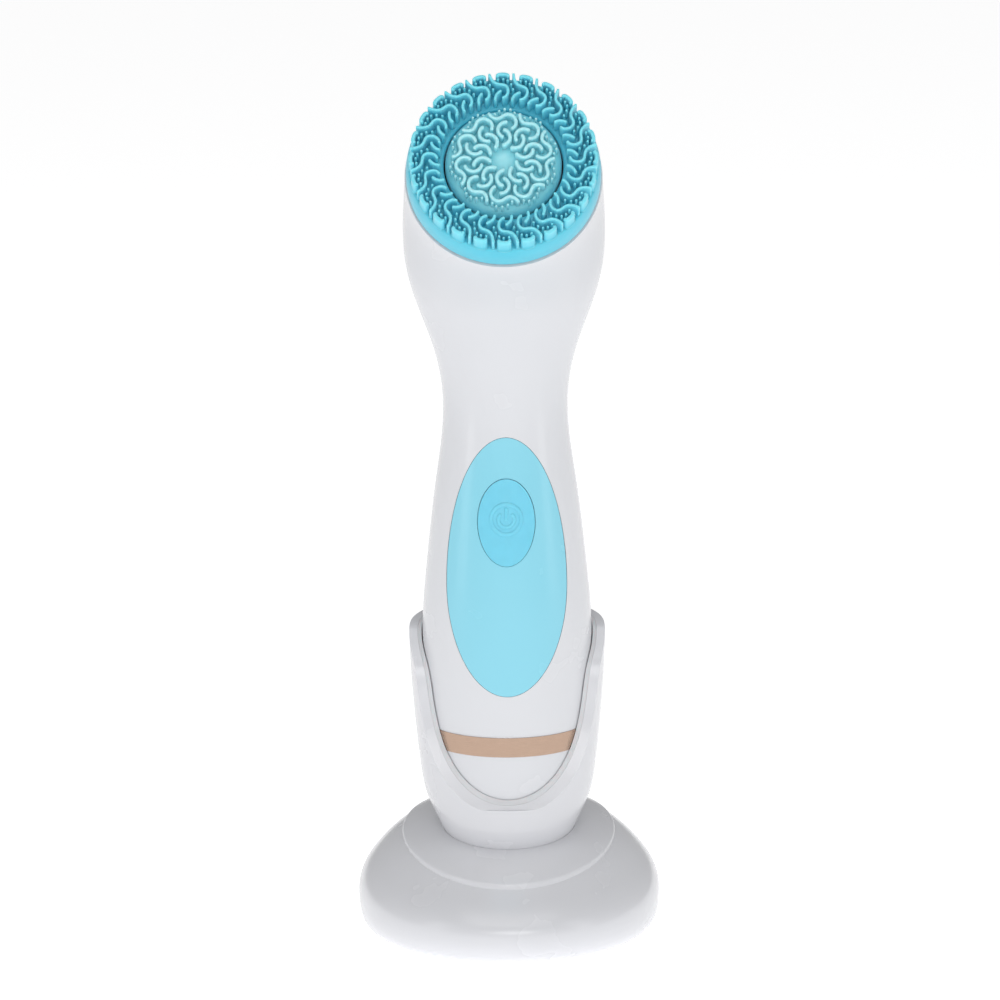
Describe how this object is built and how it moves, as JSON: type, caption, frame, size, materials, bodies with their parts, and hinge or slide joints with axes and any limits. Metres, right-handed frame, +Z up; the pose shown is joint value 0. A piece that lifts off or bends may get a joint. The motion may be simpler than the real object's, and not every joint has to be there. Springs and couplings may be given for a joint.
{
  "type": "facial cleansing brush",
  "caption": "Cordless facial cleansing brush with a tilted counter-rotating silicone head, standing in a scooped cradle on a pebble-shaped charging base.",
  "frame": {"origin": "middle of the foot pad's underside, below the handle's axis", "axes": "+Z up along the handle, -Y towards the user, the side with the button and the brush face"},
  "size_m": [0.081, 0.0882, 0.2318],
  "materials": {
    "warm_white": "satin-gloss moulded plastic",
    "panel_blue": "satin moulded plastic, pale blue",
    "button_blue": "soft-touch skin, pale blue",
    "base_white": "satin-gloss moulded plastic",
    "gold_trim": "plated rose gold, polished",
    "brush_blue": "soft silicone, satin",
    "brush_aqua": "soft silicone, satin, lighter",
    "liner_white": "soft silicone, matt, pale",
    "foot_grey": "matt non-slip pad",
    "seal_grey": "silicone seal",
    "inner_black": "moulded frame",
    "gear_white": "acetal",
    "board_green": "solder mask",
    "steel": "ground steel",
    "motor_steel": "drawn can",
    "brass": "turned",
    "copper": "enamelled winding",
    "ferrite": "sintered ferrite",
    "cell_wrap": "shrink sleeve",
    "lead_red": "insulated lead"
  },
  "bodies": {
    "stand": {"base_lower_shell": "base_white", "base_upper_shell": "base_white", "foot_pad": "foot_grey", "base_screws": "steel", "charging_board": "board_green", "usb_socket": "steel", "transmit_coil": "copper", "transmit_ferrite": "ferrite", "cradle": "base_white", "cradle_liner": "liner_white", "cradle_screws": "steel"},
    "handle": {"front_shell": "warm_white", "rear_shell": "warm_white", "front_panel": "panel_blue", "trim_band": "gold_trim", "bottom_cap": "warm_white", "cap_seal": "seal_grey", "button_seal": "seal_grey", "chassis": "inner_black", "chassis_screws": "steel", "main_board": "board_green", "tact_switch": "inner_black", "battery_cell": "cell_wrap", "battery_tabs": "steel", "receive_coil": "copper", "receive_ferrite": "ferrite", "head_plate": "inner_black", "face_seal": "seal_grey", "gearbox_housing": "inner_black", "gearbox_screws": "steel", "planet_plate": "gear_white", "shaft_bushing": "brass", "planet_pins": "steel", "motor_case": "motor_steel", "motor_end_cap": "inner_black", "motor_leads": "lead_red"},
    "button": {"power_button": "button_blue", "switch_plunger": "gear_white"},
    "inner_drive": {"drive_shaft": "steel", "wheel_gear": "gear_white", "sun_gear": "gear_white"},
    "outer_drive": {"ring_gear_hub": "gear_white", "outer_drive_flange": "inner_black"},
    "planet_1": {"planet_gear_1": "gear_white"},
    "planet_2": {"planet_gear_2": "gear_white"},
    "planet_3": {"planet_gear_3": "gear_white"},
    "motor_rotor": {"motor_shaft": "steel", "motor_pinion": "brass"},
    "inner_head": {"inner_head_core": "gear_white", "inner_brush_pad": "brush_aqua"},
    "outer_head": {"outer_head_carrier": "gear_white", "outer_brush_ring": "brush_blue"}
  },
  "joints": [
    {"name": "lift_out", "type": "slide", "parent": "stand", "child": "handle", "axis": [0, 0, 1], "range_m": [0, 0.09]},
    {"name": "power_press", "type": "slide", "parent": "handle", "child": "button", "axis": [0, 1, 0], "range_m": [0, 0.0005], "stiffness_N_per_m": 800, "springref_m": -0.0015},
    {"name": "inner_spin", "type": "hinge", "parent": "handle", "child": "inner_drive", "pos_m": [0, -0.003, 0.2055], "axis": [0, -0.829, 0.5592], "continuous": true},
    {"name": "outer_spin", "type": "hinge", "parent": "handle", "child": "outer_drive", "pos_m": [0, -0.003, 0.2055], "axis": [0, -0.829, 0.5592], "continuous": true},
    {"name": "planet_spin_1", "type": "hinge", "parent": "handle", "child": "planet_1", "pos_m": [0, 0.0045, 0.20768], "axis": [0, -0.829, 0.5592], "continuous": true},
    {"name": "planet_spin_2", "type": "hinge", "parent": "handle", "child": "planet_2", "pos_m": [-0.0052, -0.00053, 0.20022], "axis": [0, -0.829, 0.5592], "continuous": true},
    {"name": "planet_spin_3", "type": "hinge", "parent": "handle", "child": "planet_3", "pos_m": [0.0052, -0.00053, 0.20022], "axis": [0, -0.829, 0.5592], "continuous": true},
    {"name": "motor_spin", "type": "hinge", "parent": "handle", "child": "motor_rotor", "pos_m": [0, -0.00142, 0.18996], "axis": [0, -0.829, 0.5592], "continuous": true},
    {"name": "inner_pull_off", "type": "slide", "parent": "inner_drive", "child": "inner_head", "axis": [0, -0.829, 0.5592], "range_m": [0, 0.015]},
    {"name": "outer_pull_off", "type": "slide", "parent": "outer_drive", "child": "outer_head", "axis": [0, -0.829, 0.5592], "range_m": [0, 0.015]}
  ],
  "couplings": [
    {"joint": "outer_spin", "follows": "inner_spin", "ratio": -0.33333},
    {"joint": "planet_spin_1", "follows": "inner_spin", "ratio": -1},
    {"joint": "planet_spin_2", "follows": "inner_spin", "ratio": -1},
    {"joint": "planet_spin_3", "follows": "inner_spin", "ratio": -1},
    {"joint": "motor_spin", "follows": "inner_spin", "ratio": -3}
  ]
}
